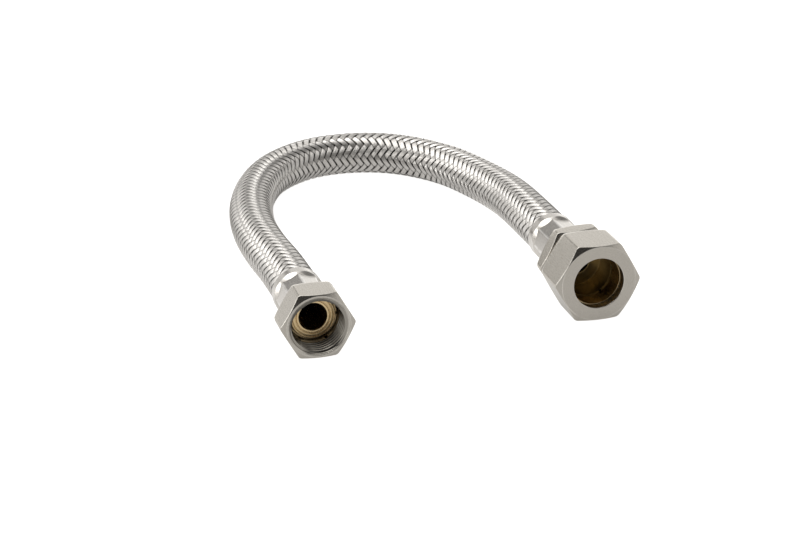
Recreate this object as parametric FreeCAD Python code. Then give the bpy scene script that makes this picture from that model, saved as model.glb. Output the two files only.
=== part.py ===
"""Braided supply line: a short stainless braided hose with a swivel nut on one end and a
compression fitting for plain pipe on the other, lying in a hairpin on a flat surface.

Units are millimetres, +Z is up and the surface is Z = 0. Both mouths face -Y. The origin is the
middle of the footprint of the two fittings. A fitting is drawn by stations: distances measured
back along +Y from the front face of its nut.
"""
import FreeCAD, Part
import math
import os
from FreeCAD import Vector

os.makedirs("parts", exist_ok=True)

# Hose
HOSE_OD = 14.2             # over the braid
BRAID_WALL = 0.6           # two crossing layers of wire
LINER_BORE = 9.5           # rubber tube inside the braid; the tails are pushed into it
# Route of the hose's centre line, from the swivel ferrule's mouth to the compression ferrule's.
# The end points also place the fittings.
ROUTE = [
    (-43.45, 4.4, 9.5),
    (-43.45, 21.0, 9.5),
    (-44.9, 42.0, 8.9),
    (-44.2, 66.0, 8.0),
    (-38.7, 94.0, 7.3),
    (-26.7, 119.0, 7.15),
    (-6.5, 133.5, 7.15),
    (17.0, 131.3, 7.15),
    (33.0, 114.0, 7.3),
    (39.2, 91.0, 8.2),
    (41.9, 68.0, 9.8),
    (41.15, 45.0, 11.5),
    (41.15, 23.1, 11.5),
]
ARC_SHARE = 0.45           # of the shorter run that an arc takes

# Ferrule, crimped on both ends
FERRULE_LENGTH = 16.0
FERRULE_WALL = 0.4
FERRULE_FRONT_WALL = 1.2
SKIRT_LENGTH = 3.0         # round, uncrimped, at the hose end
SLOPE_LENGTH = 1.5         # where the crimp flats run out into the skirt
CRIMP_FLATS = 8
CRIMP_SQUEEZE = 0.9        # crimp flats, across, below the hose's diameter
CRIMP_CORNER = 0.5         # how far the corners between the flats stand above them
SWIVEL_CRIMP_TURN = 26.0   # degrees, counterclockwise seen from the mouth
COMPRESSION_CRIMP_TURN = 31.0

# Tail: the barbed tube that the liner is pushed over, the same on both ends
TAIL_WALL = 0.7
BARB_HEIGHT = 0.4
BARB_PITCH = 3.0
BARB_COUNT = 4
TAIL_REACH = 14.0          # inside the ferrule, from its front
NECK_STEP = 0.85           # where the tail passes the ferrule's front wall

# Swivel nut, G3/8 female
SWIVEL_ACROSS_FLATS = 19.0
SWIVEL_NUT_LENGTH = 11.0
SWIVEL_THREAD_OD = 16.662  # major diameter
SWIVEL_THREAD_PITCH = 1.337
SWIVEL_FACE_OD = 18.3      # where the front chamfer starts
FLANGE_CLEARANCE = 0.475   # radial, from the thread's minor diameter
SWIVEL_FLANGE_RIM = 1.0
NOSE_SHOULDER = 0.85       # rounded rim of the flange's face
NOSE_GROOVES = 2
NOSE_GROOVE_WIDTH = 0.25
NOSE_GROOVE_DEPTH = 0.3
NOSE_EDGE = 0.2
REAR_LAND = 1.08           # straight part of the hole in the nut's back wall
SEAT_GAP = 0.42            # along the axis, between the flange's cone and the nut's seat
NECK_CLEARANCE = 0.3
FLOAT_GAP = 0.5            # between the nut's back and the ferrule

# Compression nut, G1/2 female thread, for 15 mm pipe
NUT_ACROSS_FLATS = 23.0
NUT_LENGTH = 14.0
PIPE_OD = 15.0
HOLE_CLEARANCE = 0.3       # on the diameter, of the nut's hole over the pipe
NUT_FRONT_WALL = 2.6
THREAD_CLEARANCE = 0.07    # radial, between the two plain cylinders that stand for the thread

# Olive, the brass ring that the nut squeezes onto the pipe
OLIVE_CLEARANCE = 0.16     # on the diameter, over the pipe
OLIVE_WALL = 1.02
OLIVE_END_WALL = 0.27
OLIVE_ROOM = 0.3           # radial, around it inside the nut's taper
OLIVE_LENGTH = 6.0
OLIVE_TAPER_LENGTH = 1.3
OLIVE_STATION = 3.2

# Compression body
BODY_THREAD_OD = 20.955    # G1/2 major diameter
BODY_THREAD_PITCH = 1.814
BODY_FRONT_STATION = 7.3
BODY_CONE_GAP = 0.35       # radial, between the olive's back taper and the body's cone
SOCKET_CLEARANCE = 0.2     # on the diameter, over the pipe
SOCKET_PAST_HEX = 2.5      # from the hexagon's front to the stop that the pipe meets
RELIEF_LENGTH = 0.9        # undercut between the thread and the hexagon
HEX_GAP = 2.5              # between the nut's back and the hexagon
BODY_ACROSS_FLATS = 21.0
HEX_LENGTH = 5.5
HEX_TURN = 4.0             # degrees, counterclockwise seen from the mouth
COLLAR_OD = 17.0
COLLAR_END_OD = 14.6
COLLAR_LENGTH = 3.4

CHAMFER_ANGLE = 30.0       # of hexagon corners, from the face
THREAD_LEAD_IN = 0.4
MINOR_SHARE = 1.28065      # of the pitch, between a pipe thread's major and minor diameters

hose_radius = HOSE_OD / 2
liner_radius = hose_radius - BRAID_WALL
bore_radius = LINER_BORE / 2
crimp_across = HOSE_OD - CRIMP_SQUEEZE
clamped_radius = crimp_across / 2 - FERRULE_WALL
tail_root = bore_radius
tail_bore = tail_root - TAIL_WALL
neck_radius = tail_root + NECK_STEP
swivel_minor = SWIVEL_THREAD_OD - MINOR_SHARE * SWIVEL_THREAD_PITCH
body_minor = BODY_THREAD_OD - MINOR_SHARE * BODY_THREAD_PITCH
flange_radius = swivel_minor / 2 - FLANGE_CLEARANCE
swivel_hole = neck_radius + NECK_CLEARANCE
flange_rim_end = SWIVEL_NUT_LENGTH - REAR_LAND - (flange_radius - swivel_hole) - SEAT_GAP
pipe_hole = (PIPE_OD + HOLE_CLEARANCE) / 2
socket_radius = (PIPE_OD + SOCKET_CLEARANCE) / 2
olive_bore = (PIPE_OD + OLIVE_CLEARANCE) / 2
olive_radius = olive_bore + OLIVE_WALL
olive_end_radius = olive_bore + OLIVE_END_WALL
hex_station = NUT_LENGTH + HEX_GAP
swivel_end = Vector(*ROUTE[0])
compression_end = Vector(*ROUTE[-1])
swivel_ferrule_station = SWIVEL_NUT_LENGTH + FLOAT_GAP
compression_ferrule_station = hex_station + HEX_LENGTH + COLLAR_LENGTH
swivel_mouth = swivel_end - Vector(0, swivel_ferrule_station + FERRULE_LENGTH, 0)
compression_mouth = compression_end - Vector(0, compression_ferrule_station + FERRULE_LENGTH, 0)


def turned(outline, mouth):
    """A solid of revolution from (radius, station) points, on the axis through mouth."""
    points = [Vector(radius, station, 0) for radius, station in outline]
    face = Part.Face(Part.makePolygon(points + points[:1]))
    solid = face.revolve(Vector(0, 0, 0), Vector(0, 1, 0), 360)
    return placed(solid, mouth)


def placed(shape, mouth):
    """A copy of shape moved so that station 0 on the axis is at mouth."""
    moved = shape.copy()
    moved.translate(mouth)
    return moved


def prism(sides, across, start, length, turn):
    """A regular prism along the stations, with one flat on top before it is turned."""
    corner = across / 2 / math.cos(math.pi / sides)
    points = []
    for number in range(sides):
        angle = math.radians(90 + turn + 180 / sides + 360 / sides * number)
        points.append(Vector(corner * math.cos(angle), start, corner * math.sin(angle)))
    face = Part.Face(Part.makePolygon(points + points[:1]))
    return face.extrude(Vector(0, length, 0))


def hexagon(across, start, length, turn, front_od, back_od):
    """A hexagon with its corners chamfered down to front_od and back_od at its two faces."""
    corner = across / math.sqrt(3) + 0.01
    slope = math.tan(math.radians(CHAMFER_ANGLE))
    front_depth = (corner - front_od / 2) * slope
    back_depth = (corner - back_od / 2) * slope
    outline = [
        (0, start),
        (front_od / 2, start),
        (corner, start + front_depth),
        (corner, start + length - back_depth),
        (back_od / 2, start + length),
        (0, start + length),
    ]
    return prism(6, across, start, length, turn).common(turned(outline, Vector(0, 0, 0)))


def ferrule(mouth, station, turn):
    """The crimped sleeve: octagonal towards the nut, round at the hose."""
    end = station + FERRULE_LENGTH
    skirt = end - SKIRT_LENGTH
    slope = skirt - SLOPE_LENGTH
    outer = hose_radius + FERRULE_WALL
    flat = crimp_across / 2
    corner = flat + CRIMP_CORNER
    outside = turned([
        (0, station),
        (corner - 0.5, station),
        (corner, station + 0.5),
        (corner, slope),
        (outer, slope + 0.01),
        (outer, end - 0.2),
        (outer - 0.2, end),
        (0, end),
    ], Vector(0, 0, 0))
    reach = 2 * outer
    run_out = (reach - flat) * SLOPE_LENGTH / (outer - flat)
    for number in range(CRIMP_FLATS):
        side = Part.makePolygon([
            Vector(-reach, station - 1, flat),
            Vector(-reach, slope, flat),
            Vector(-reach, slope + run_out, reach),
            Vector(-reach, station - 1, reach),
            Vector(-reach, station - 1, flat),
        ])
        cutter = Part.Face(side).extrude(Vector(2 * reach, 0, 0))
        angle = -turn - 360 / CRIMP_FLATS * number
        cutter.rotate(Vector(0, 0, 0), Vector(0, 1, 0), angle)
        outside = outside.cut(cutter)
    inside = turned([
        (0, station - 1),
        (neck_radius, station - 1),
        (neck_radius, station + FERRULE_FRONT_WALL),
        (clamped_radius, station + FERRULE_FRONT_WALL),
        (clamped_radius, slope),
        (hose_radius, skirt),
        (hose_radius, end + 1),
        (0, end + 1),
    ], Vector(0, 0, 0))
    return placed(outside.cut(inside), mouth)


def tail_outline(station):
    """(radius, station) points of a barbed tail, from the ferrule's front to its end."""
    points = [(neck_radius, station), (neck_radius, station + FERRULE_FRONT_WALL)]
    first = station + TAIL_REACH - BARB_COUNT * BARB_PITCH
    points.append((tail_root, station + FERRULE_FRONT_WALL))
    for number in range(BARB_COUNT):
        start = first + number * BARB_PITCH
        points.append((tail_root, start))
        points.append((tail_root + BARB_HEIGHT, start + 0.01))
        points.append((tail_root, start + BARB_PITCH - 0.4))
    points.append((tail_root, station + TAIL_REACH))
    points.append((tail_bore, station + TAIL_REACH))
    return points


def swivel_tail():
    """Brass insert of the swivel end: grooved nose, flange with a cone at its back, barbs."""
    nose = flange_rim_end - SWIVEL_FLANGE_RIM
    shoulder = flange_radius - NOSE_SHOULDER
    land = (shoulder - tail_bore) / NOSE_GROOVES - NOSE_GROOVE_WIDTH
    points = [(tail_bore, nose + NOSE_EDGE), (tail_bore + NOSE_EDGE, nose)]
    for number in range(NOSE_GROOVES):
        outside = tail_bore + (land + NOSE_GROOVE_WIDTH) * (number + 1)
        inside = outside - NOSE_GROOVE_WIDTH
        points.append((inside, nose))
        points.append((inside, nose + NOSE_GROOVE_DEPTH))
        points.append((outside, nose + NOSE_GROOVE_DEPTH))
        points.append((outside, nose + NOSE_EDGE / 2))
    points += [
        (flange_radius - NOSE_SHOULDER / 2, nose + NOSE_GROOVE_DEPTH),
        (flange_radius, nose + 0.75 * SWIVEL_FLANGE_RIM),
        (flange_radius, flange_rim_end),
        (neck_radius, flange_rim_end + flange_radius - neck_radius),
    ]
    points += tail_outline(swivel_ferrule_station)
    return turned(points, swivel_mouth)


def swivel_nut():
    """Loose hexagon nut that is held on the tail by the tail's flange."""
    thread = SWIVEL_THREAD_OD / 2
    seat_end = SWIVEL_NUT_LENGTH - REAR_LAND
    seat_start = seat_end - (thread - swivel_hole)
    body = hexagon(SWIVEL_ACROSS_FLATS, 0, SWIVEL_NUT_LENGTH, 0, SWIVEL_FACE_OD, SWIVEL_FACE_OD - 1.5)
    inside = turned([
        (0, -1),
        (thread + 0.2, -1),
        (thread + 0.2, 0),
        (thread, 0.2),
        (thread, seat_start),
        (swivel_hole, seat_end),
        (swivel_hole, SWIVEL_NUT_LENGTH + 1),
        (0, SWIVEL_NUT_LENGTH + 1),
    ], Vector(0, 0, 0))
    return placed(body.cut(inside), swivel_mouth)


def compression_nut():
    """Hexagon nut with a hole for the pipe in its front wall and a taper behind it."""
    taper_end = olive_radius + OLIVE_ROOM
    taper_station = NUT_FRONT_WALL + taper_end - pipe_hole
    thread = BODY_THREAD_OD / 2 + THREAD_CLEARANCE
    body = hexagon(NUT_ACROSS_FLATS, 0, NUT_LENGTH, 0, NUT_ACROSS_FLATS - 0.4, NUT_ACROSS_FLATS - 0.2)
    inside = turned([
        (0, -1),
        (pipe_hole + 0.15, -1),
        (pipe_hole + 0.15, 0),
        (pipe_hole, 0.15),
        (pipe_hole, NUT_FRONT_WALL),
        (taper_end, taper_station),
        (thread, taper_station),
        (thread, NUT_LENGTH - THREAD_LEAD_IN),
        (thread + THREAD_LEAD_IN, NUT_LENGTH),
        (thread + THREAD_LEAD_IN, NUT_LENGTH + 1),
        (0, NUT_LENGTH + 1),
    ], Vector(0, 0, 0))
    return placed(body.cut(inside), compression_mouth)


def olive():
    """Brass barrel ring between the nut's taper and the body's cone."""
    start = OLIVE_STATION
    end = start + OLIVE_LENGTH
    return turned([
        (olive_bore, start),
        (olive_end_radius, start),
        (olive_radius, start + OLIVE_TAPER_LENGTH),
        (olive_radius, end - OLIVE_TAPER_LENGTH),
        (olive_end_radius, end),
        (olive_bore, end),
    ], compression_mouth)


def compression_body():
    """Threaded body with a hexagon, a socket for the pipe and a barbed tail."""
    thread = BODY_THREAD_OD / 2
    olive_end = OLIVE_STATION + OLIVE_LENGTH
    taper = (olive_radius - olive_end_radius) / OLIVE_TAPER_LENGTH
    cone_start = olive_end_radius + BODY_CONE_GAP + (olive_end - BODY_FRONT_STATION) * taper
    cone_end_station = BODY_FRONT_STATION + (cone_start - socket_radius) / taper
    hex_end = hex_station + HEX_LENGTH
    relief = hex_station - RELIEF_LENGTH
    socket_end = hex_station + SOCKET_PAST_HEX
    stem = turned([
        (cone_start, BODY_FRONT_STATION),
        (thread - THREAD_LEAD_IN, BODY_FRONT_STATION),
        (thread, BODY_FRONT_STATION + THREAD_LEAD_IN),
        (thread, relief),
        (body_minor / 2, relief),
        (body_minor / 2, hex_station + 0.5),
        (COLLAR_OD / 2, hex_end - 0.5),
        (COLLAR_OD / 2, hex_end + 0.6),
        (COLLAR_END_OD / 2, hex_end + COLLAR_LENGTH - 0.6),
        (COLLAR_END_OD / 2, hex_end + COLLAR_LENGTH),
    ] + tail_outline(compression_ferrule_station) + [
        (tail_bore, socket_end),
        (socket_radius, socket_end),
        (socket_radius, cone_end_station),
    ], Vector(0, 0, 0))
    flats = hexagon(BODY_ACROSS_FLATS, hex_station, HEX_LENGTH, HEX_TURN,
                    BODY_ACROSS_FLATS - 0.4, BODY_ACROSS_FLATS - 1.0)
    core = turned([
        (0, hex_station - 1),
        (socket_radius + 1.0, hex_station - 1),
        (socket_radius + 1.0, hex_end + 1),
        (0, hex_end + 1),
    ], Vector(0, 0, 0))
    return placed(stem.fuse(flats.cut(core)).removeSplitter(), compression_mouth)


def route_path():
    """The hose's centre line: straight runs joined by tangent arcs."""
    points = [Vector(*point) for point in ROUTE]
    edges = []
    start = points[0]
    length = 0.0
    for before, corner, after in zip(points, points[1:], points[2:]):
        incoming = (corner - before).normalize()
        outgoing = (after - corner).normalize()
        turn = incoming.getAngle(outgoing)
        cut = ARC_SHARE * min((corner - before).Length, (after - corner).Length)
        radius = cut / math.tan(turn / 2)
        first = corner - incoming * cut
        last = corner + outgoing * cut
        inward = (outgoing - incoming).normalize()
        middle = corner + inward * radius * (1 / math.cos(turn / 2) - 1)
        edges.append(Part.LineSegment(start, first).toShape())
        edges.append(Part.Arc(first, middle, last).toShape())
        length += (first - start).Length + radius * turn
        start = last
        print("turn %.1f degrees, radius %.1f mm" % (math.degrees(turn), radius))
    edges.append(Part.LineSegment(start, points[-1]).toShape())
    length += (points[-1] - start).Length
    return Part.Wire(edges), length


def along_route(radius, path):
    """A solid rod of the given radius along the route."""
    circle = Part.makeCircle(radius, swivel_end, Vector(0, 1, 0))
    return path.makePipeShell([Part.Wire([circle])], True, False)


def clamped_end(outer, clamped_outer, station, mouth):
    """The stretch of a hose layer inside a ferrule, as a solid rod, squeezed by the crimp."""
    end = station + FERRULE_LENGTH
    skirt = end - SKIRT_LENGTH
    return turned([
        (0, station + FERRULE_FRONT_WALL),
        (clamped_outer, station + FERRULE_FRONT_WALL),
        (clamped_outer, skirt - SLOPE_LENGTH),
        (outer, skirt),
        (outer, end),
        (0, end),
    ], mouth)


def hose_layer(outer, clamped_outer, path):
    """One layer of the hose as a solid rod over its whole length, clamped at both ends."""
    rod = along_route(outer, path)
    for station, mouth in ((swivel_ferrule_station, swivel_mouth),
                           (compression_ferrule_station, compression_mouth)):
        rod = rod.fuse(clamped_end(outer, clamped_outer, station, mouth))
    return rod


def hose():
    """The braid and the liner."""
    path, length = route_path()
    whole = hose_layer(hose_radius, clamped_radius, path)
    inner = hose_layer(liner_radius, clamped_radius - BRAID_WALL, path)
    bore = along_route(bore_radius, path)
    for station, mouth in ((swivel_ferrule_station, swivel_mouth),
                           (compression_ferrule_station, compression_mouth)):
        start = station + FERRULE_FRONT_WALL
        end = station + FERRULE_LENGTH
        bore = bore.fuse(turned([(0, start), (bore_radius, start), (bore_radius, end), (0, end)], mouth))
        outline = [(0, station)] + tail_outline(station) + [(0, station + TAIL_REACH)]
        bore = bore.fuse(turned(outline, mouth))
    section = math.pi * hose_radius ** 2
    swept = along_route(hose_radius, path).Volume
    print("free length %.1f mm, swept volume / section x length %.4f" % (length, swept / section / length))
    print("overall length %.1f mm" % (length + swivel_end.y - swivel_mouth.y
                                      + compression_end.y - compression_mouth.y))
    return whole.cut(inner), inner.cut(bore)


def export(name, shape):
    """Writes one node as parts/NAME.step."""
    solid = shape.Solids[0] if len(shape.Solids) == 1 else shape
    print("%-22s solids %d valid %s volume %.1f" % (name, len(shape.Solids), shape.isValid(), shape.Volume))
    solid.exportStep("parts/%s.step" % name)


braid_sleeve, liner = hose()
export("braid_sleeve", braid_sleeve)
export("rubber_liner", liner)
export("swivel_nut", swivel_nut())
export("swivel_tail", swivel_tail())
export("swivel_ferrule", ferrule(swivel_mouth, swivel_ferrule_station, SWIVEL_CRIMP_TURN))
export("compression_body", compression_body())
export("compression_ferrule",
       ferrule(compression_mouth, compression_ferrule_station, COMPRESSION_CRIMP_TURN))
export("compression_olive", olive())
export("compression_nut", compression_nut())
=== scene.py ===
"""Looks of the braided supply line: the hose, its swivel end and its compression end.

Lengths are millimetres until a mesh is made, and a mesh is in metres. A fitting is drawn by
stations: distances back along +Y from the front face of its nut. Its sections are closed
outlines of (radius, station) corners, which are softened and carried round its axis.
"""
import bmesh
import bpy
import math
import numpy as np
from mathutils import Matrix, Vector


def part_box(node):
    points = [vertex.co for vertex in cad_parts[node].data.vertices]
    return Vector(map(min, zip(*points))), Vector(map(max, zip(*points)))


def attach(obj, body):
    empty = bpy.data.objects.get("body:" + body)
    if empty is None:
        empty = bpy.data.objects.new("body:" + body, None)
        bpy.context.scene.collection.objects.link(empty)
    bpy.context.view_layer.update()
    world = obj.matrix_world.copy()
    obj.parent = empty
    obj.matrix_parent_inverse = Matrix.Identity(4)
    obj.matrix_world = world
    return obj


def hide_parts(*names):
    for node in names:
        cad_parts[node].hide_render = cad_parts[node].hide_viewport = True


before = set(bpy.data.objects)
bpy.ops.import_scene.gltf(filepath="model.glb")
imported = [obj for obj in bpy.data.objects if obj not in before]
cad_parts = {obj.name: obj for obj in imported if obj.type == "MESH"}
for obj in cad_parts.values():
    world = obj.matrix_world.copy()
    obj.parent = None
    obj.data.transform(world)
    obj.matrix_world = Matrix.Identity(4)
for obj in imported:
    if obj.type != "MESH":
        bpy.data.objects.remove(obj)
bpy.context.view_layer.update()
MM = 0.001

# Hose. The route is the control points of the centre line's spline.
ROUTE = [
    (-43.45, 4.4, 9.5),
    (-43.45, 21.0, 9.5),
    (-44.9, 42.0, 8.9),
    (-44.2, 66.0, 8.0),
    (-38.7, 94.0, 7.3),
    (-26.7, 119.0, 7.15),
    (-6.5, 133.5, 7.15),
    (17.0, 131.3, 7.15),
    (33.0, 114.0, 7.3),
    (39.2, 91.0, 8.2),
    (41.9, 68.0, 9.8),
    (41.15, 45.0, 11.5),
    (41.15, 23.1, 11.5),
]
HOSE_OD = 14.2
LINER_RADIUS = 6.4
LINER_WALL = 1.6
LINER_SIDES = 48
ROUTE_STEPS = 24           # of the spline, between two control points
CARRIERS = 12              # strands each way
LEAD = 37.0                # length of hose that a strand takes to go once round
WIRES = 10                 # in a strand
STRAND_FILL = 0.8          # a strand's width over the room it has
BRAID_MIDDLE = 6.8         # radius where the two ways cross
BRAID_SWING = 0.2          # how far a strand goes in and out
WIRE_CREST = 0.1           # heights on a strand's section, off its own middle
WIRE_VALLEY = 0.02
STRAND_EDGE = -0.12
STRAND_CROWN = 0.08        # how much lower the section is at its edges
VALLEY_SHADE_DIRT = 0.18         # painted shade and dirt between two wires, where a strand's covered part has 1
SHADE_DIRT_EDGE = 0.76          # of the half width; the painted shade and dirt grow from here to the edge
COVER_START = 0.15         # swing at which a strand starts to be covered
COVER_DEPTH = 0.6          # how much lower the swing is where it is covered fully
ROWS_PER_CROSSING = 3
BRAID_TUCK = 2.6           # into each ferrule
BRAID_PHASE = -12.0        # degrees round the hose, at its start
BRAID_TWIST = 22.0         # degrees more at its end
STRANDS_PER_PIECE = 6
STRIPS_PER_STRAND = 5      # lengths that a strand is cut into on its map
STRIP_MARGIN = 0.03        # of a strip's height, left free on its map at both sides
BRAID_SEED = 20

# Ferrules
FERRULE_LENGTH = 16.0
FERRULE_WALL = 0.4
SKIRT_LENGTH = 3.0         # the round part at the hose
SLOPE_LENGTH = 1.5         # from the crimp flats out to the skirt
SLOPE_BLEND = 0.12
CRIMP_FLATS = 8
CRIMP_FLAT = 6.65          # from the axis to a crimped flat
CRIMP_CORNER = 7.15        # from the axis to the corners between the flats
CRIMP_BLEND = 0.16
CRIMP_WEAR_SHEEN = 0.6           # wear and painted sheen on the corners between the flats
CORNER_RUN = 1.3           # along the axis, over which the corners rise to the skirt
CORNER_LEAD = 0.5          # how far before the slope they start
LEAF_DEPTH = 0.9           # how much further back a flat's edges rise than its middle
LEAF_LEAD = 0.35           # how far before the slope its middle rises
FERRULE_COLUMNS = 32 * CRIMP_FLATS
HOSE_GAP = 0.06            # between the braid and the skirt
SWIVEL_CRIMP_TURN = 26.0   # degrees, counterclockwise seen from the mouth
COMPRESSION_CRIMP_TURN = 31.0

# Tails
NECK_RADIUS = 5.6
TAIL_ROOT = 4.75
TAIL_BORE = 4.05
FERRULE_FRONT_WALL = 1.2
TAIL_REACH = 14.0          # from the ferrule's front to the tail's end
BARB_COUNT = 4
BARB_PITCH = 3.0
BARB_HEIGHT = 0.4

# Swivel end
SWIVEL_ACROSS_FLATS = 19.0
SWIVEL_NUT_LENGTH = 11.0
SWIVEL_FACE_RADIUS = 9.15
SWIVEL_BACK_RADIUS = 8.4
SWIVEL_THREAD = (7.475, 8.331, 1.337)        # crest and root radius, pitch
SWIVEL_HOLE = 5.9
SWIVEL_REAR_LAND = 1.08    # straight part of the hole in the nut's back wall
SWIVEL_FERRULE_STATION = 11.5
FLANGE_RADIUS = 7.0
FLANGE_END = 8.4
FLANGE_CONE_END = 9.8
NOSE_STATION = 7.4
NOSE_SHOULDER = 0.85
NOSE_GROOVES = (4.95, 6.0) # radii
NOSE_GROOVE_DEPTH = 0.3

# Compression end
NUT_ACROSS_FLATS = 23.0
NUT_LENGTH = 14.0
NUT_FACE_RADIUS = 11.3
NUT_BACK_RADIUS = 11.4
NUT_HOLE = 7.65
NUT_FRONT_WALL = 2.6       # the hole's straight part, before it widens round the olive
BODY_THREAD = (9.316, 10.4775, 1.814)        # root and crest radius, pitch
THREAD_GAP = 0.07          # how much larger the nut's thread is in radius
OLIVE_BORE = 7.58
OLIVE_RADIUS = 8.6
OLIVE_STATION = 3.2
OLIVE_LENGTH = 6.0
OLIVE_END_WALL = 0.27
OLIVE_TAPER = 1.3          # length at each end
OLIVE_ROOM = 0.3           # round it, inside the nut's taper
BODY_FRONT = 7.3
BODY_MOUTH = 9.3           # radius
BODY_ACROSS_FLATS = 21.0
BODY_FACE_RADIUS = 10.3
BODY_BACK_RADIUS = 10.0
HEX_STATION = 16.5
HEX_LENGTH = 5.5
HEX_TURN = 4.0             # degrees, counterclockwise seen from the mouth
RELIEF_LENGTH = 0.9        # undercut between the thread and the hexagon
COLLAR_RADIUS = 8.5
COLLAR_END_RADIUS = 7.3
COLLAR_STRAIGHT = 0.6
COLLAR_SLOPE_END = 2.8
COLLAR_LENGTH = 3.4
SOCKET_RADIUS = 7.6
SOCKET_START = 10.24
SOCKET_END = 19.0
COMPRESSION_FERRULE_STATION = 25.4

# Hexagons
HEX_SIDES = 6
CHAMFER = math.tan(math.radians(30))
HEX_EDGE = 0.065           # rounding of a hexagon's edges over its width across flats
HEX_ROUNDING = 0.14        # where the chamfer meets the flats and the face
HEX_BACK_ROUNDING = 0.7
HEX_BACK_SHARE = 1.3       # of the back chamfer's depth, which its rounding takes as well

# Meshes
BAKE_MAP = "OFBake"
ARC_STEPS = 4              # parts of a rounded corner
ARC_SHARE = 0.46           # of a side, the most that the rounding at one end of it takes
SAME_SPOT = 2e-7           # metres; vertices closer than this become one
THREAD_ROWS = 8            # to a pitch
THREAD_TURNS = (0.24, 1.8) # room before and after, in pitches, for the helix to start and end in
FLANK_STEEPNESS = 0.75
CORNER_OFFSETS = [0.0, 0.6, 1.2, 1.9, 2.5, 3.2]   # degrees from a hexagon's corner
FIRST_WIDE_OFFSET = 4.0
WIDE_SPACING = 3.0
CIRCLE_COLUMNS = 144

# Stage, in metres and degrees, with the lens and the sensor behind it in millimetres
FLOOR_REACH = 3.0
CAMERA_PLACE = (-0.1593, -0.5215, 0.2263)
CAMERA_TILT = 68.7         # from straight down
CAMERA_HEADING = -15.6
CAMERA_LENS = 90.0
CAMERA_SENSOR = 36.0


def mouth_of(node):
    """The middle of a nut's front face, in millimetres."""
    low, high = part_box(node)
    return np.array([low[0] + high[0], 2 * low[1], low[2] + high[2]]) / 2 / MM


# ---- Finishes ----

class Value:
    """What a node gives. Sums on it add Math nodes."""

    def __init__(self, finish, socket):
        self.finish = finish
        self.socket = socket

    def math(self, operation, *terms):
        return self.finish.node("ShaderNodeMath", {"operation": operation}, dict(enumerate(terms)))

    def __add__(self, other):
        return self.math("ADD", self, other)

    def __sub__(self, other):
        return self.math("SUBTRACT", self, other)

    def __rsub__(self, other):
        return self.math("SUBTRACT", other, self)

    def __mul__(self, other):
        return self.math("MULTIPLY", self, other)

    def __pow__(self, other):
        return self.math("POWER", self, other)

    __radd__ = __add__
    __rmul__ = __mul__


class Finish:
    """A material and the nodes that make it."""

    def __init__(self, name, tree_owner=None):
        self.owner = tree_owner or bpy.data.materials.new(name)
        self.owner.use_nodes = True
        self.tree = self.owner.node_tree
        self.tree.nodes.clear()

    def node(self, kind, settings=None, inputs=None, output=0):
        made = self.tree.nodes.new(kind)
        for key, value in (settings or {}).items():
            setattr(made, key, value)
        for key, value in (inputs or {}).items():
            if isinstance(value, Value):
                self.tree.links.new(value.socket, made.inputs[key])
            else:
                made.inputs[key].default_value = value
        return Value(self, made.outputs[output] if made.outputs else None)

    def place(self):
        """Where a point is on its own piece, in millimetres."""
        spot = self.node("ShaderNodeTexCoord", output="Object")
        return self.node("ShaderNodeVectorMath", {"operation": "SCALE"}, {0: spot, "Scale": 1 / MM})

    def parts(self, vector):
        made = self.node("ShaderNodeSeparateXYZ", None, {0: vector})
        outputs = made.socket.node.outputs
        return [Value(self, outputs[axis]) for axis in range(3)]

    def vector(self, x, y, z):
        return self.node("ShaderNodeCombineXYZ", None, {0: x, 1: y, 2: z})

    def noise(self, vector, scale, detail=3.0, roughness=0.5):
        return self.node("ShaderNodeTexNoise", None, {
            "Vector": vector, "Scale": scale, "Detail": detail, "Roughness": roughness})

    def ranged(self, value, low, high, to_low=0.0, to_high=1.0):
        return self.node("ShaderNodeMapRange", {"interpolation_type": "SMOOTHSTEP"}, {
            "Value": value, "From Min": low, "From Max": high, "To Min": to_low, "To Max": to_high})

    def mixed(self, factor, first, second):
        return self.node("ShaderNodeMix", {"data_type": "RGBA"}, {0: factor, 6: first, 7: second}, 2)

    def told(self, name):
        """A number that the piece's mesh carries."""
        return self.node("ShaderNodeAttribute", {"attribute_name": name}, None, "Fac")

    def bump(self, height, strength, distance=MM):
        return self.node("ShaderNodeBump", None, {
            "Height": height, "Strength": strength, "Distance": distance})

    def done(self, **inputs):
        shader = self.node("ShaderNodeBsdfPrincipled", None, {
            key.replace("_", " "): value for key, value in inputs.items()})
        self.node("ShaderNodeOutputMaterial", None, {"Surface": shader})
        return self.owner


def colour(red, green, blue):
    return (red, green, blue, 1.0)


def turned_metal(name, dull, bright, worn_sheen, roughness, lines):
    """Turned and plated metal: turning lines on faces, faint draw lines on flats, worn edges
    lightened as wear and as a painted edge highlight.
    """
    finish = Finish(name)
    place = finish.place()
    x, y, z = finish.parts(place)
    radius = (x * x + z * z) ** 0.5
    facing = finish.parts(finish.node("ShaderNodeTexCoord", output="Normal"))[1]
    front = finish.ranged(facing * facing, 0.55, 0.85)
    patches = finish.noise(place, 0.22, 4.0, 0.6)
    grain = finish.noise(place, 9.0, 2.0, 0.6)
    rings = finish.noise(finish.vector(radius * 14.0, y * 0.4, 0.0), 1.0, 2.0)
    drawn = finish.noise(finish.vector(x * 5.0, y * 0.35, z * 5.0), 1.0, 3.0)
    marks = rings * front + drawn * (1.0 - front)
    # Rounded edges get a lighter worn colour: partly real wear, partly a painted edge highlight.
    wear_sheen = finish.told("wear_sheen") * finish.ranged(patches + grain * 0.3, 0.45, 0.75)
    tone = finish.ranged(patches * 0.15 + marks * 0.4 + grain * 0.45, 0.3, 0.7)
    base = finish.mixed(wear_sheen, finish.mixed(tone, dull, bright), worn_sheen)
    rough = patches * 0.04 + grain * 0.12 + marks * 0.08 - wear_sheen * 0.03 + (roughness - 0.12)
    bump = finish.bump(marks * lines + grain * 0.006, 1.0)
    return finish.done(Base_Color=base, Metallic=1.0, Roughness=rough, Normal=bump)


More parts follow.
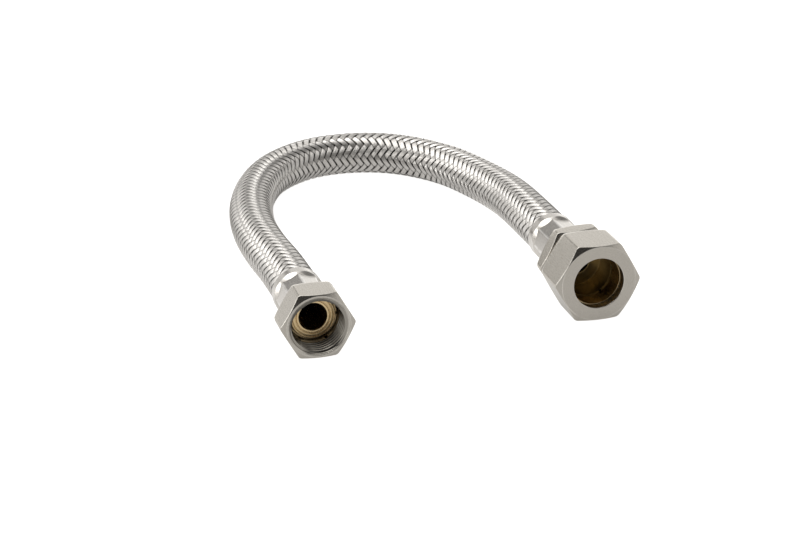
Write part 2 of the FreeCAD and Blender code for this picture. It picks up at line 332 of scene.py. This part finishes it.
def wire_finish():
    """Fine drawn stainless wire: each wire has its own tone, and painted shade with some dirt
    darkens it between wires, at strand edges and where a strand is covered.
    """
    finish = Finish("drawn_steel_wire")
    place = finish.place()
    tone = finish.told("tone")
    painted_shade_dirt = finish.told("painted_shade_dirt")
    patches = finish.noise(place, 0.12, 3.0)
    streaks = finish.noise(place, 1.6, 2.0)
    # Near black where the wires lie deep: painted shade, with some dirt.
    shade_and_dirt = painted_shade_dirt * finish.ranged(patches + streaks * 0.4, 0.35, 1.0, 0.75, 1.0)
    base = finish.mixed(finish.ranged(tone + patches * 0.5, 0.2, 1.2),
                        colour(0.74, 0.715, 0.68), colour(0.91, 0.885, 0.85))
    base = finish.mixed(shade_and_dirt, base, colour(0.05, 0.046, 0.04))
    rough = 0.2 + patches * 0.12 + streaks * 0.08 + shade_and_dirt * 0.25
    return finish.done(Base_Color=base, Metallic=1.0, Roughness=rough)


def rubber_finish():
    """Black rubber with a dusty bloom."""
    finish = Finish("black_hose_rubber")
    place = finish.place()
    bloom = finish.ranged(finish.noise(place, 0.5, 4.0), 0.4, 0.75)
    grain = finish.noise(place, 12.0, 2.0)
    base = finish.mixed(bloom, colour(0.008, 0.008, 0.009), colour(0.022, 0.021, 0.02))
    return finish.done(Base_Color=base, Roughness=0.5 + bloom * 0.2 + grain * 0.1,
                       Normal=finish.bump(grain * 0.02, 1.0))


def floor_finish():
    """A plain white light table: it glows, and takes a trace of shadow."""
    finish = Finish("white_light_table")
    paper = finish.node("ShaderNodeBsdfDiffuse", None, {"Color": colour(0.25, 0.25, 0.25)})
    seen = finish.node("ShaderNodeLightPath", output="Is Camera Ray")
    x, y, _ = finish.parts(finish.node("ShaderNodeTexCoord", output="Object"))
    pool = finish.ranged(y, -0.02, 0.03) * finish.ranged(y, 0.06, 0.1, 1.0, 0.0)
    far = finish.ranged(y, 0.2, 0.5) * finish.ranged(x, -0.35, -0.1)
    lit = pool * 0.3 + far * 0.9 + finish.ranged(y, 0.11, 0.2, 0.46, 0.66)
    glow = finish.node("ShaderNodeEmission", None, {"Color": colour(1.0, 0.99, 0.98),
                                                    "Strength": seen * 0.5 + lit})
    surface = finish.node("ShaderNodeAddShader", None, {0: paper, 1: glow})
    finish.node("ShaderNodeOutputMaterial", None, {"Surface": surface})
    return finish.owner


# ---- Meshes ----

def put(name, data):
    """A new object of a mesh, curve, lamp or camera, linked into the scene."""
    made = bpy.data.objects.new(name, data)
    bpy.context.collection.objects.link(made)
    return made


def softened(corners):
    """A closed outline of (radius, station, rounding) corners with each corner rounded off, as
    (radius, station, wear and painted sheen, finish) points. A corner may give its finish's number
    too."""
    points = []
    count = len(corners)
    for number, (radius, station, rounding, *rest) in enumerate(corners):
        finish = rest[0] if rest else 0
        if rounding == 0:
            points.append((radius, station, 0.0, finish))
            continue
        corner = np.array([radius, station])
        ends = []
        for other in (corners[number - 1], corners[(number + 1) % count]):
            arm = np.array(other[:2]) - corner
            length = max(float(np.hypot(*arm)), 1e-6)
            ends.append(corner + arm / length * min(rounding, ARC_SHARE * length))
        for step in range(ARC_STEPS + 1):
            share = step / ARC_STEPS
            spot = ((1 - share) ** 2 * ends[0] + 2 * share * (1 - share) * corner
                    + share ** 2 * ends[1])
            # Most wear and painted sheen in the middle of each rounded corner.
            wear_sheen = math.sin(math.pi * share)
            points.append((spot[0], spot[1], wear_sheen, finish))
    return points


def ring_piece(name, mouth, angles, section, materials):
    """A closed ring round the axis through mouth. section(angle) is its outline, as points
    (radius, station, wear and painted sheen, finish)."""
    columns = [section(angle) for angle in angles]
    grid = np.array(columns, float)
    around, along = grid.shape[:2]
    turn = np.radians(np.array(angles))[:, None]
    spots = np.stack([grid[..., 0] * np.cos(turn), grid[..., 1],
                      grid[..., 0] * np.sin(turn)], -1) * MM
    number = np.arange(around * along).reshape(around, along)
    here, there = number[:-1], number[1:]
    faces = np.stack([here, there, np.roll(there, -1, 1), np.roll(here, -1, 1)], -1)
    mesh = bpy.data.meshes.new(name)
    mesh.from_pydata(spots.reshape(-1, 3).tolist(), [], faces.reshape(-1, 4).tolist())
    worn_sheen = mesh.attributes.new("wear_sheen", "FLOAT", "POINT")
    worn_sheen.data.foreach_set("value", grid[..., 2].astype(np.float32).ravel())
    ahead = np.hypot(*(np.roll(grid[:, :, :2], -1, 1) - grid[:, :, :2]).mean(0).T)
    v = np.concatenate([[0], np.cumsum(np.maximum(ahead, 1e-4))])
    v /= v[-1]
    u = (np.array(angles) - angles[0]) / 360
    shape = (around - 1, along)
    low, high = (np.broadcast_to(side, shape) for side in (v[:-1], v[1:]))
    left, right = (np.broadcast_to(side[:, None], shape) for side in (u[:-1], u[1:]))
    corners = np.stack([left, low, right, low, right, high, left, high], -1)
    uv = mesh.uv_layers.new(name=BAKE_MAP)
    uv.data.foreach_set("uv", corners.astype(np.float32).ravel())
    for material in materials:
        mesh.materials.append(material)
    slots = grid[0, :, 3].astype(np.int32)
    mesh.polygons.foreach_set("material_index", np.tile(slots, around - 1))
    mesh.polygons.foreach_set("use_smooth", [True] * len(mesh.polygons))
    work = bmesh.new()
    work.from_mesh(mesh)
    bmesh.ops.remove_doubles(work, verts=work.verts, dist=SAME_SPOT)
    bmesh.ops.recalc_face_normals(work, faces=work.faces)
    work.to_mesh(mesh)
    work.free()
    piece = put(name, mesh)
    piece.location = mouth * MM
    even = piece.modifiers.new("even_normals", "WEIGHTED_NORMAL")
    even.keep_sharp = True
    return piece


def polygon_radius(angle, sides, across, turn, rounding):
    """From the axis to the rim of a regular polygon with rounded corners and one flat on top."""
    half = math.pi / sides
    gap = math.radians(angle - 90 - turn) % (2 * half)
    off_corner = abs(gap - half)
    centre = (across / 2 - rounding) / math.cos(half)
    edge = math.atan2(rounding * math.sin(half), centre + rounding * math.cos(half))
    if off_corner >= edge:
        return across / 2 / math.cos(half - off_corner)
    side = centre * math.sin(off_corner)
    return centre * math.cos(off_corner) + math.sqrt(rounding ** 2 - side ** 2)


def polygon_angles(sides, turn):
    """Angles once round, close together at the polygon's corners."""
    half = 180 / sides
    wide = round((half - FIRST_WIDE_OFFSET) / WIDE_SPACING) + 1
    offsets = CORNER_OFFSETS + list(np.linspace(FIRST_WIDE_OFFSET, half, wide))
    angles = []
    for number in range(sides):
        corner = 90 + turn + half + 2 * half * number
        angles += [corner + offset for offset in offsets]
        angles += [corner + 2 * half - offset for offset in reversed(offsets[1:-1])]
    return angles + [angles[0] + 360]


def thread_rows(angle, start, end, low, high, pitch, finish=1):
    """Points along a right-hand thread's flanks. They follow the helix, so its crests are clean,
    and those past the start or the end wait there, so every angle has as many."""
    turn = angle / 360
    rows = []
    first = math.floor(THREAD_ROWS * (start / pitch + THREAD_TURNS[0]))
    last = math.ceil(THREAD_ROWS * (end / pitch + THREAD_TURNS[1]))
    for number in range(first, last + 1):
        station = min(max(pitch * (number / THREAD_ROWS - turn), start), end)
        wave = math.cos(2 * math.pi * (station / pitch + turn))
        flank = min(max(0.5 + FLANK_STEEPNESS * wave, 0.0), 1.0)
        rows.append((low + (high - low) * flank, station, 0.0, finish))
    return rows


def hex_corners(angle, across, start, length, turn, face, back):
    """The outside of a hexagon with chamfered corners, from its front face to its back face."""
    rim = polygon_radius(angle, HEX_SIDES, across, turn, HEX_EDGE * across)
    front_depth = (rim - face) * CHAMFER
    back_depth = (rim - back) * CHAMFER
    return [
        (face, start, HEX_ROUNDING),
        (rim, start + front_depth, HEX_ROUNDING),
        (rim, start + length, back_depth * HEX_BACK_SHARE + HEX_BACK_ROUNDING),
    ]


def swivel_nut_section(angle):
    low, high, pitch = SWIVEL_THREAD
    seat_end = SWIVEL_NUT_LENGTH - SWIVEL_REAR_LAND
    seat_start = seat_end - (high - SWIVEL_HOLE)
    outside = softened([
        (high + 0.05, 0.35, 0.0),
        (high + 0.3, 0.0, 0.12),
        *hex_corners(angle, SWIVEL_ACROSS_FLATS, 0.0, SWIVEL_NUT_LENGTH, 0.0,
                     SWIVEL_FACE_RADIUS, SWIVEL_BACK_RADIUS),
        (SWIVEL_HOLE, SWIVEL_NUT_LENGTH, 0.15),
        (SWIVEL_HOLE, seat_end, 0.1),
        (high, seat_start, 0.0),
    ])
    thread = thread_rows(angle, 0.36, seat_start - 0.2, low, high, pitch)
    return outside + thread[::-1]


def swivel_tail_section(angle):
    rim = FLANGE_RADIUS - NOSE_SHOULDER
    bottom = NOSE_STATION + NOSE_GROOVE_DEPTH
    outline = [(TAIL_BORE, NOSE_STATION, 0.3)]
    for groove in NOSE_GROOVES:
        outline += [
            (groove - 0.15, NOSE_STATION, 0.1),
            (groove - 0.1, bottom, 0.05),
            (groove + 0.12, bottom, 0.05),
            (groove + 0.17, NOSE_STATION, 0.1),
        ]
    outline += [
        (rim + 0.25, NOSE_STATION + 0.02, 0.2),
        (FLANGE_RADIUS, NOSE_STATION + 0.7, 0.4),
        (FLANGE_RADIUS, FLANGE_END, 0.15),
        (NECK_RADIUS, FLANGE_CONE_END, 0.2),
    ]
    return softened(outline + tail_corners(SWIVEL_FERRULE_STATION))


def tail_corners(station):
    """Corners of a barbed tail, from the ferrule's front round its end and into its bore."""
    end = station + TAIL_REACH
    corners = [(NECK_RADIUS, station + FERRULE_FRONT_WALL, 0.1),
               (TAIL_ROOT, station + FERRULE_FRONT_WALL, 0.0)]
    first = end - BARB_COUNT * BARB_PITCH
    for number in range(BARB_COUNT):
        start = first + number * BARB_PITCH
        corners += [(TAIL_ROOT, start, 0.0), (TAIL_ROOT + BARB_HEIGHT, start + 0.02, 0.08),
                    (TAIL_ROOT, start + BARB_PITCH - 0.4, 0.0)]
    return corners + [(TAIL_ROOT, end, 0.15), (TAIL_BORE, end, 0.15)]


def compression_nut_section(angle):
    low, high, pitch = BODY_THREAD
    taper_end = OLIVE_RADIUS + OLIVE_ROOM
    taper_station = NUT_FRONT_WALL + taper_end - NUT_HOLE
    root = high + THREAD_GAP
    outside = softened([
        (NUT_HOLE, NUT_FRONT_WALL, 0.2),
        (NUT_HOLE, 0.0, 0.22),
        *hex_corners(angle, NUT_ACROSS_FLATS, 0.0, NUT_LENGTH, 0.0,
                     NUT_FACE_RADIUS, NUT_BACK_RADIUS),
        (high + 0.5, NUT_LENGTH, 0.15),
        (root, NUT_LENGTH - 0.45, 0.0),
    ])
    thread = thread_rows(angle, taper_station + 1.2, NUT_LENGTH - 0.5,
                         low + THREAD_GAP, root, pitch)
    inside = [
        (root, taper_station + 1.0, 0.0, 1),
        (root, taper_station, 0.0, 1),
        (taper_end, taper_station, 0.0, 1),
    ]
    return outside + thread[::-1] + inside


def olive_section(angle):
    start, end = OLIVE_STATION, OLIVE_STATION + OLIVE_LENGTH
    lip = OLIVE_BORE + OLIVE_END_WALL
    return softened([
        (OLIVE_BORE, start, 0.1),
        (lip, start, 0.08),
        (OLIVE_RADIUS, start + OLIVE_TAPER, 0.9),
        (OLIVE_RADIUS, end - OLIVE_TAPER, 0.9),
        (lip, end, 0.08),
        (OLIVE_BORE, end, 0.1),
    ])


def body_section(angle):
    """The body: its mouth, thread, hexagon, collar and tail, and back through the pipe's socket
    and the cone that the olive seats in."""
    low, high, pitch = BODY_THREAD
    relief = HEX_STATION - RELIEF_LENGTH
    hex_end = HEX_STATION + HEX_LENGTH
    collar_end = hex_end + COLLAR_LENGTH
    front = softened([
        (BODY_MOUTH, BODY_FRONT, 0.12),
        (high - 0.45, BODY_FRONT, 0.12),
        (high - 0.05, BODY_FRONT + 0.4, 0.0),
    ])
    thread = thread_rows(angle, BODY_FRONT + 0.45, relief - 0.05, low, high, pitch, 0)
    back = softened([
        (low, relief, 0.0),
        (low, HEX_STATION, 0.1),
        *hex_corners(angle, BODY_ACROSS_FLATS, HEX_STATION, HEX_LENGTH, HEX_TURN,
                     BODY_FACE_RADIUS, BODY_BACK_RADIUS),
        (COLLAR_RADIUS, hex_end, 0.12),
        (COLLAR_RADIUS, hex_end + COLLAR_STRAIGHT, 0.3),
        (COLLAR_END_RADIUS, hex_end + COLLAR_SLOPE_END, 0.3),
        (COLLAR_END_RADIUS, collar_end, 0.12),
        (NECK_RADIUS, collar_end, 0.0),
        *tail_corners(COMPRESSION_FERRULE_STATION),
        (TAIL_BORE, SOCKET_END, 0.25, 1),
        (SOCKET_RADIUS, SOCKET_END, 0.1, 1),
        (SOCKET_RADIUS, SOCKET_START, 0.25, 1),
    ])
    return front + thread + back


def smooth_least(first, second, blend):
    """The lesser of two numbers, with a soft change from one to the other."""
    share = min(max(0.5 + 0.5 * (second - first) / blend, 0.0), 1.0)
    return second + (first - second) * share - blend * share * (1 - share)


def ferrule_section(station, turn):
    """The crimped sleeve's section: round at the hose, flats pressed into it towards the nut."""
    end = station + FERRULE_LENGTH
    skirt = end - SKIRT_LENGTH
    slope = skirt - SLOPE_LENGTH
    front_wall = station + FERRULE_FRONT_WALL
    outer = HOSE_OD / 2 + FERRULE_WALL
    inner = CRIMP_FLAT - FERRULE_WALL
    mouth = HOSE_OD / 2 + HOSE_GAP
    half = 180 / CRIMP_FLATS
    rows = [station + 0.5, station + 1.5]
    rows += list(np.linspace(station + 3.0, slope - 1.2, 5))
    rows += list(np.linspace(slope - 0.8, skirt + 0.9, 30))
    rows += [end - 0.9]

    def section(angle):
        off_flat = math.radians((angle - 90 - turn + half) % (2 * half) - half)
        points = softened([
            (NECK_RADIUS, front_wall, 0.0),
            (NECK_RADIUS, station, 0.15),
            (CRIMP_FLAT - 0.15, station, 0.2),
            (CRIMP_FLAT, station + 0.45, 0.0),
        ])[:-1]
        for place in rows:
            leaf = LEAF_DEPTH * (off_flat / math.radians(half)) ** 2 - LEAF_LEAD
            rise = smooth_rise(place, slope + leaf, skirt)
            pressed = (CRIMP_FLAT + (outer - CRIMP_FLAT) * rise) / math.cos(off_flat)
            share = min(max((place - slope + CORNER_LEAD) / CORNER_RUN, 0.0), 1.0)
            free = CRIMP_CORNER + (outer - CRIMP_CORNER) * share
            radius = smooth_least(pressed, free, CRIMP_BLEND)
            # The crimped corners get wear and painted sheen.
            wear_sheen = CRIMP_WEAR_SHEEN if abs(pressed - free) < CRIMP_BLEND else 0.0
            points.append((radius, place, wear_sheen, 0))
        points += softened([
            (outer, end - 0.7, 0.0),
            (outer, end, 0.3),
            (mouth, end, 0.1),
            (mouth, skirt, 0.0),
            (inner, slope, 0.0),
            (inner, front_wall, 0.0),
        ])
        return points
    return section


def smooth_rise(place, slope, skirt):
    """How far up its slope a pressed flat is, with soft ends; it goes on past the skirt."""
    share = (place - slope) / (skirt - slope)
    return -smooth_least(-share, 0.0, SLOPE_BLEND)


# ---- Hose ----

def hose_curve():
    curve = bpy.data.curves.new("rubber_hose", "CURVE")
    curve.dimensions = "3D"
    spline = curve.splines.new("NURBS")
    spline.points.add(len(ROUTE) - 1)
    for point, spot in zip(spline.points, ROUTE):
        point.co = (*(MM * number for number in spot), 1.0)
    spline.order_u = 3
    spline.use_endpoint_u = True
    spline.resolution_u = ROUTE_STEPS
    curve.resolution_u = ROUTE_STEPS
    return put("rubber_hose", curve)


class Line:
    """The hose's middle, by distance along it, with a side direction that doesn't twist. It goes
    on straight for an extra length at both ends."""

    def __init__(self, points, extra):
        first = points[0] - unit(points[1] - points[0]) * extra
        last = points[-1] + unit(points[-1] - points[-2]) * extra
        self.points = np.vstack([first, points, last])
        steps = np.linalg.norm(np.diff(self.points, axis=0), axis=1)
        self.distance = np.concatenate([[0], np.cumsum(steps)]) - extra
        self.length = self.distance[-1] - extra
        self.ahead = unit(np.gradient(self.points, self.distance, axis=0))
        side = np.array([1.0, 0.0, 0.0])
        sides = []
        for spot, (here, ahead) in enumerate(zip(self.points, self.ahead)):
            if spot:
                step = here - self.points[spot - 1]
                size = step @ step
                side = side - 2 / size * (step @ side) * step
                old = self.ahead[spot - 1] - 2 / size * (step @ self.ahead[spot - 1]) * step
                change = ahead - old
                side = side - 2 / (change @ change + 1e-30) * (change @ side) * change
            side = unit(side - (side @ ahead) * ahead)
            sides.append(side)
        self.side = np.array(sides)

    def at(self, distance, angle, radius):
        """Points off the line, for arrays of distance, angle round it in radians and radius."""
        middle, ahead, side = (
            np.stack([np.interp(distance, self.distance, part[:, axis]) for axis in range(3)], -1)
            for part in (self.points, self.ahead, self.side))
        ahead = unit(ahead)
        side = unit(side - (side * ahead).sum(-1, keepdims=True) * ahead)
        up = np.cross(ahead, side)
        return middle + radius[..., None] * (np.cos(angle)[..., None] * side
                                             + np.sin(angle)[..., None] * up)


def unit(vector):
    return vector / np.maximum(np.linalg.norm(vector, axis=-1, keepdims=True), 1e-12)


def strand_outline():
    """A strand's section: a ridge for each wire with a valley on both sides. It gives how far
    across each point is in strand spacings, its height and its painted shade and dirt."""
    half = STRAND_FILL / 2
    ridge = np.arange(2 * WIRES + 1)
    is_crest = ridge % 2 == 1
    across = half * (ridge / WIRES - 1)
    height = np.where(is_crest, WIRE_CREST, WIRE_VALLEY)
    height[[0, -1]] = STRAND_EDGE
    height = height - STRAND_CROWN * (across / half) ** 2
    # Valleys and strand edges get painted shade and dirt.
    shade_and_dirt = np.where(is_crest, 0.0, VALLEY_SHADE_DIRT)
    edge_shade_dirt = np.clip((abs(across / half) - SHADE_DIRT_EDGE) / (1 - SHADE_DIRT_EDGE), 0, 1)
    return across, height, np.maximum(shade_and_dirt, edge_shade_dirt)


def strand_map(order, count, rows, width):
    """Map corners of a strand's faces. The strand is cut into strips, and the strips of all the
    piece's strands lie one above the other."""
    strip_rows = math.ceil((rows - 1) / STRIPS_PER_STRAND)
    row = np.arange(rows - 1)
    strip = row // strip_rows
    left = (row - strip * strip_rows) / strip_rows
    right = left + 1 / strip_rows
    strips = STRIPS_PER_STRAND * count
    floor = (order * STRIPS_PER_STRAND + strip) / strips
    rung = (np.arange(width + 1) / width * (1 - 2 * STRIP_MARGIN) + STRIP_MARGIN) / strips
    bottom, top = (floor[:, None] + side[None, :] for side in (rung[:-1], rung[1:]))
    left, right = (np.broadcast_to(side[:, None], bottom.shape) for side in (left, right))
    return np.stack([left, bottom, left, top, right, top, right, bottom], -1).reshape(-1)


def braid_piece(name, line, hand, numbers, material):
    """Some of the strands that wind one way. Crossings lie on a lattice: a strand keeps its own
    number and meets the other way's strands one by one, over two and under two."""
    step = LEAD / (2 * CARRIERS)
    low, high = -BRAID_TUCK / step, (line.length + BRAID_TUCK) / step
    across, height, section_shade_dirt = strand_outline()
    width = len(across)
    chance = np.random.default_rng(BRAID_SEED + hand)
    spots, faces, maps, tones, depths, caps = [], [], [], [], [], []
    base = 0
    for order, number in enumerate(numbers):
        ends = sorted((number + hand * low, number + hand * high))
        met = np.arange(math.ceil(ends[0] * ROWS_PER_CROSSING),
                        math.floor(ends[1] * ROWS_PER_CROSSING) + 1) / ROWS_PER_CROSSING
        rows = len(met)
        swing = np.cos(math.pi / 2 * (met + number - 0.5))
        swing = hand * swing * (1.5 - 0.5 * swing ** 2)
        own = number + across
        around = own[None, :] + met[:, None]
        along = hand * (met[:, None] - own[None, :]) * step
        radius = BRAID_MIDDLE + BRAID_SWING * swing[:, None] + height[None, :]
        twist = BRAID_PHASE + BRAID_TWIST * along / line.length
        angle = around * (math.pi / CARRIERS) + np.radians(twist)
        spots.append(line.at(along, angle, radius).reshape(-1, 3))

        tone = np.repeat(chance.uniform(0.0, 1.0, WIRES), 2)
        tone = np.concatenate([tone, tone[-1:]])
        tones.append(np.tile(tone, (rows, 1)).ravel())
        # Where a strand goes under the other way it gets painted shade.
        under = np.clip((COVER_START - swing) / COVER_DEPTH, 0, 1)
        under = under * under * (3 - 2 * under)
        depths.append(np.maximum(section_shade_dirt[None, :], under[:, None]).ravel())

        index = base + np.arange(rows * width).reshape(rows, width)
        here, there = index[:-1], index[1:]
        quads = np.stack([here, np.roll(here, -1, 1), np.roll(there, -1, 1), there], -1)
        faces.append(quads.reshape(-1, 4))
        maps.append(strand_map(order, len(numbers), rows, width))
        caps += [index[0].tolist(), index[-1].tolist()[::-1]]
        base += rows * width

    mesh = bpy.data.meshes.new(name)
    mesh.from_pydata((np.concatenate(spots) * MM).tolist(), [],
                     np.concatenate(faces).tolist() + caps)
    uv = mesh.uv_layers.new(name=BAKE_MAP)
    cap_corners = sum(len(cap) for cap in caps)
    corners = np.concatenate(maps + [np.zeros(2 * cap_corners)])
    uv.data.foreach_set("uv", corners.astype(np.float32))
    for label, values in (("tone", tones), ("painted_shade_dirt", depths)):
        made = mesh.attributes.new(label, "FLOAT", "POINT")
        made.data.foreach_set("value", np.concatenate(values).astype(np.float32))
    mesh.polygons.foreach_set("use_smooth", [True] * len(mesh.polygons))
    keep_valleys_sharp(mesh, width)
    mesh.materials.append(material)
    return put(name, mesh)


def keep_valleys_sharp(mesh, width):
    """Mark the edges that run along the valleys of strands whose section has width points."""
    pairs = np.empty(2 * len(mesh.edges), np.int64)
    mesh.edges.foreach_get("vertices", pairs)
    first, second = (pairs % width).reshape(-1, 2).T
    edges = mesh.attributes.new("sharp_edge", "BOOLEAN", "EDGE")
    edges.data.foreach_set("value", (first == second) & (first % 2 == 0))


# ---- The pieces ----

nickel = turned_metal("satin_nickel", colour(0.52, 0.487, 0.435), colour(0.59, 0.557, 0.50),
                      colour(0.82, 0.785, 0.72), 0.27, 0.012)
steel = turned_metal("pressed_stainless", colour(0.56, 0.535, 0.495), colour(0.68, 0.65, 0.61),
                     colour(0.84, 0.82, 0.79), 0.24, 0.006)
# The inner thread is darker than the outside: partly an unplated cut look, partly painted shade
# inside the nut.
thread = turned_metal("shaded_cut_thread", colour(0.30, 0.28, 0.245), colour(0.42, 0.395, 0.35),
                      colour(0.7, 0.66, 0.6), 0.22, 0.0)
brass = turned_metal("turned_brass", colour(0.72, 0.53, 0.28), colour(0.86, 0.67, 0.39),
                     colour(0.95, 0.80, 0.52), 0.28, 0.005)
dull_brass = turned_metal("tarnished_brass", colour(0.34, 0.265, 0.13), colour(0.52, 0.41, 0.22),
                          colour(0.6, 0.48, 0.26), 0.3, 0.006)
wire = wire_finish()
rubber = rubber_finish()

swivel_mouth = mouth_of("swivel_nut")
compression_mouth = mouth_of("compression_nut")

hose = hose_curve()
traced = bpy.data.meshes.new_from_object(hose)
middle = np.array([vertex.co for vertex in traced.vertices], float) / MM
bpy.data.meshes.remove(traced)
line = Line(middle, 2 * BRAID_TUCK)
hose.data.bevel_depth = LINER_RADIUS * MM
hose.data.bevel_resolution = LINER_SIDES // 4
wall = hose.modifiers.new("wall", "SOLIDIFY")
wall.thickness = LINER_WALL * MM
wall.offset = -1.0
hose.data.materials.append(rubber)
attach(hose, "hose_line")
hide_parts("rubber_liner")

for hand, side in ((1, "right"), (-1, "left")):
    for group in range(CARRIERS // STRANDS_PER_PIECE):
        numbers = range(group, CARRIERS, CARRIERS // STRANDS_PER_PIECE)
        braid = braid_piece("braid_%s_hand_%d" % (side, group + 1), line, hand, numbers, wire)
        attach(braid, "hose_line")
        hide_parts("braid_sleeve")

hexagon = polygon_angles(HEX_SIDES, 0.0)
turned_hexagon = polygon_angles(HEX_SIDES, HEX_TURN)
circle = list(np.linspace(0.0, 360.0, CIRCLE_COLUMNS + 1))
ferrule_angles = list(np.linspace(0.0, 360.0, FERRULE_COLUMNS + 1))


def fitted(name, node, mouth, angles, section, materials, body):
    """A ring in the place of a node of the part."""
    piece = ring_piece(name, mouth, angles, section, materials)
    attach(piece, body)
    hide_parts(node)


fitted("swivel_nut_shell", "swivel_nut", swivel_mouth, hexagon, swivel_nut_section,
       [nickel, thread], "swivel_nut")
fitted("swivel_insert", "swivel_tail", swivel_mouth, circle, swivel_tail_section,
       [brass], "hose_line")
fitted("compression_nut_shell", "compression_nut", compression_mouth, hexagon,
       compression_nut_section, [nickel, thread], "compression_nut")
fitted("compression_ring", "compression_olive", compression_mouth, circle, olive_section,
       [brass], "olive")
fitted("compression_stem", "compression_body", compression_mouth, turned_hexagon,
       body_section, [nickel, dull_brass], "hose_line")
for name, node, mouth, station, turn in (
        ("swivel_sleeve", "swivel_ferrule", swivel_mouth, SWIVEL_FERRULE_STATION, SWIVEL_CRIMP_TURN),
        ("compression_sleeve", "compression_ferrule", compression_mouth,
         COMPRESSION_FERRULE_STATION, COMPRESSION_CRIMP_TURN)):
    fitted(name, node, mouth, ferrule_angles, ferrule_section(station, turn),
           [steel], "hose_line")


# ---- Stage ----

def stage_floor():
    mesh = bpy.data.meshes.new("floor")
    signs = ((-1, -1), (1, -1), (1, 1), (-1, 1))
    mesh.from_pydata([(x * FLOOR_REACH, y * FLOOR_REACH, 0) for x, y in signs], [], [(0, 1, 2, 3)])
    mesh.materials.append(floor_finish())
    put("floor", mesh)


def softbox(name, place, aim, width, height, power):
    """A soft rectangular lamp at place, turned to aim, both in metres."""
    lamp = bpy.data.lights.new(name, "AREA")
    lamp.shape = "RECTANGLE"
    lamp.size = width
    lamp.size_y = height
    lamp.energy = power
    holder = put(name, lamp)
    holder.location = place
    holder.rotation_euler = (Vector(aim) - Vector(place)).to_track_quat("-Z", "Y").to_euler()


def surroundings():
    """A white room to the eye, and for what reflects it a pale tent with a dark patch where the
    eye looks in, and dimmer parts at the right, at the front and at the far left."""
    world = bpy.data.worlds.new("tent")
    bpy.context.scene.world = world
    finish = Finish("tent", world)
    x, y, z = finish.parts(finish.node("ShaderNodeTexCoord", output="Generated"))
    toward_eye = z * 0.45 - x * 0.2 - y * 0.87
    dark = finish.ranged(toward_eye, 0.62, 0.88)
    horizon = finish.ranged(y, 0.75, 0.92) * finish.ranged(z, 0.08, 0.3, 1.0, 0.0)
    horizon = horizon * finish.ranged(-1.0 * x, 0.2, 0.35, 1.0, 0.0)
    overhead = finish.ranged(z, 0.6, 0.85) * finish.ranged(x, -0.1, 0.3, 1.0, 0.0)
    right = finish.ranged(x, 0.35, 0.55) * finish.ranged(z, 0.5, 0.65)
    side = finish.ranged(-1.0 * x, 0.25, 0.42) * finish.ranged(y, 0.7, 0.82)
    front = finish.ranged(y, -0.8, -0.2, 0.35, 0.0)
    seam = finish.ranged(x, -0.31, -0.25) * finish.ranged(x, -0.12, -0.06, 1.0, 0.0)
    seam = seam * finish.ranged(y, 0.74, 0.82) * finish.ranged(z, 0.26, 0.34)
    strength = ((horizon * 0.6 + overhead * 0.4 + 0.9) * (1.0 - dark * 0.96)
                * (1.0 - right * 0.8) * (1.0 - side * 0.3) * (1.0 - front) * (1.0 - seam * 0.75))
    seen = finish.node("ShaderNodeLightPath", output="Is Camera Ray")
    tent = finish.node("ShaderNodeBackground", None, {"Color": colour(1.0, 0.99, 0.975),
                                                      "Strength": strength})
    white = finish.node("ShaderNodeBackground", None, {"Color": colour(1.0, 1.0, 1.0),
                                                       "Strength": 1.0})
    surface = finish.node("ShaderNodeMixShader", None, {0: seen, 1: tent, 2: white})
    finish.node("ShaderNodeOutputWorld", None, {"Surface": surface})


stage_floor()
surroundings()
softbox("overhead", (-0.35, 0.12, 0.9), (0.0, 0.05, 0.0), 0.85, 0.42, 2.2)
softbox("left", (-0.85, 0.16, 0.22), (0.0, 0.05, 0.02), 0.6, 0.42, 1.5)

camera = bpy.data.cameras.new("camera")
camera.lens = CAMERA_LENS
camera.sensor_width = CAMERA_SENSOR
viewer = put("camera", camera)
viewer.location = CAMERA_PLACE
viewer.rotation_euler = (math.radians(CAMERA_TILT), 0.0, math.radians(CAMERA_HEADING))
bpy.context.scene.camera = viewer
bpy.context.scene.view_settings.view_transform = "Standard"
